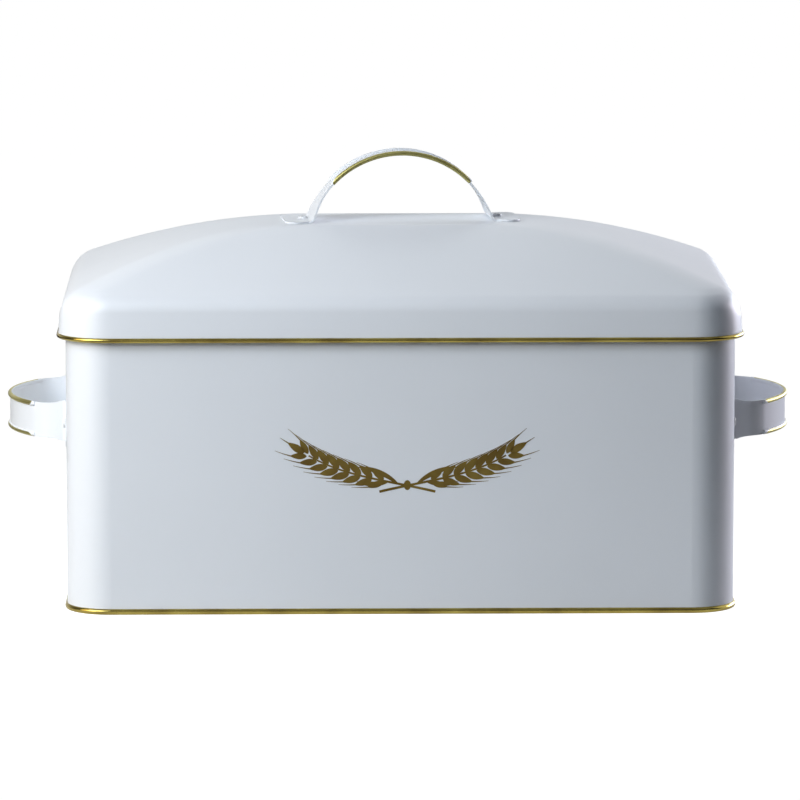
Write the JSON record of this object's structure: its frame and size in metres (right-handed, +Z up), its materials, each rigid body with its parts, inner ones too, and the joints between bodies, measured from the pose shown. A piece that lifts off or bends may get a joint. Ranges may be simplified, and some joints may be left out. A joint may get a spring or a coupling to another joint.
{
  "type": "bread bin",
  "caption": "Rectangular pressed-steel bread bin with rounded corners, a lift-off hipped lid with an arched strap handle, horizontal strap handles on its ends and gold edging.",
  "frame": {"origin": "centre of the bin's footprint, on the surface it stands on", "axes": "+Z up, -Y out of the decorated front, +X towards the right-hand end handle seen from the front"},
  "size_m": [0.43, 0.2248, 0.2396],
  "materials": {
    "white_paint": "smooth satin white stoved paint",
    "gold_trim": "satin metallic gold paint on rolled and curled edges",
    "rivet_paint": "satin white paint over domed steel rivet heads"
  },
  "bodies": {
    "bin": {"body_wall": "white_paint", "base_panel": "white_paint", "right_handle_strap": "white_paint", "left_handle_strap": "white_paint", "base_bead": "gold_trim", "right_handle_lower_curl": "gold_trim", "right_handle_upper_curl": "gold_trim", "left_handle_lower_curl": "gold_trim", "left_handle_upper_curl": "gold_trim", "right_handle_rivets": "rivet_paint", "left_handle_rivets": "rivet_paint"},
    "lid": {"lid_shell": "white_paint", "lid_rim_bead": "gold_trim", "lid_handle_strap": "white_paint", "lid_handle_front_curl": "gold_trim", "lid_handle_back_curl": "gold_trim", "lid_handle_rivets": "rivet_paint"}
  },
  "joints": [
    {"name": "lid_lift", "type": "slide", "parent": "bin", "child": "lid", "axis": [0, 0, 1], "range_m": [0, 0.2]}
  ]
}
